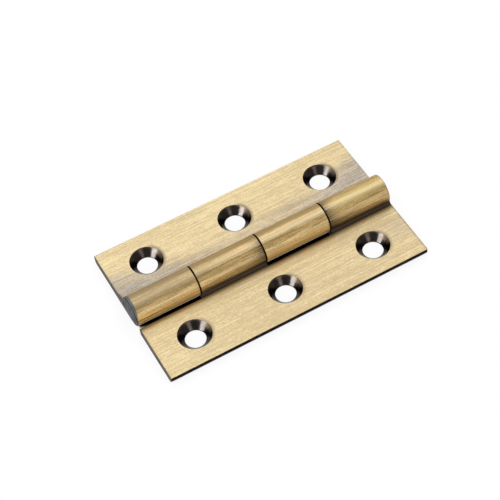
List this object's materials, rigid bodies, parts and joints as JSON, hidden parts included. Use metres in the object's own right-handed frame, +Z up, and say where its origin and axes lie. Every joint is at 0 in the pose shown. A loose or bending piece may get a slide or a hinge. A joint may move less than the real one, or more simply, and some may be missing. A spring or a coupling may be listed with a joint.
{
  "type": "butt hinge",
  "caption": "Flat butt hinge with rectangular leaves, countersunk screw holes and interleaved knuckles on a riveted pin, in brushed antique brass.",
  "frame": {"origin": "middle of the hinge, below the pin, in the plane of the leaves' undersides", "axes": "+X along the pin towards the end knuckle of the front leaf, +Y to the rear leaf, +Z up out of the countersunk faces"},
  "size_m": [0.064, 0.038, 0.007],
  "materials": {
    "brass": "brushed antique, dark in the recesses"
  },
  "bodies": {
    "rear_body": {"rear_leaf": "brass", "pin": "brass"},
    "front_body": {"front_leaf": "brass"}
  },
  "joints": [
    {"name": "leaf_hinge", "type": "hinge", "parent": "rear_body", "child": "front_body", "pos_m": [0, 0, 0.0035], "axis": [-1, 0, 0], "range_deg": [-90, 180]}
  ]
}
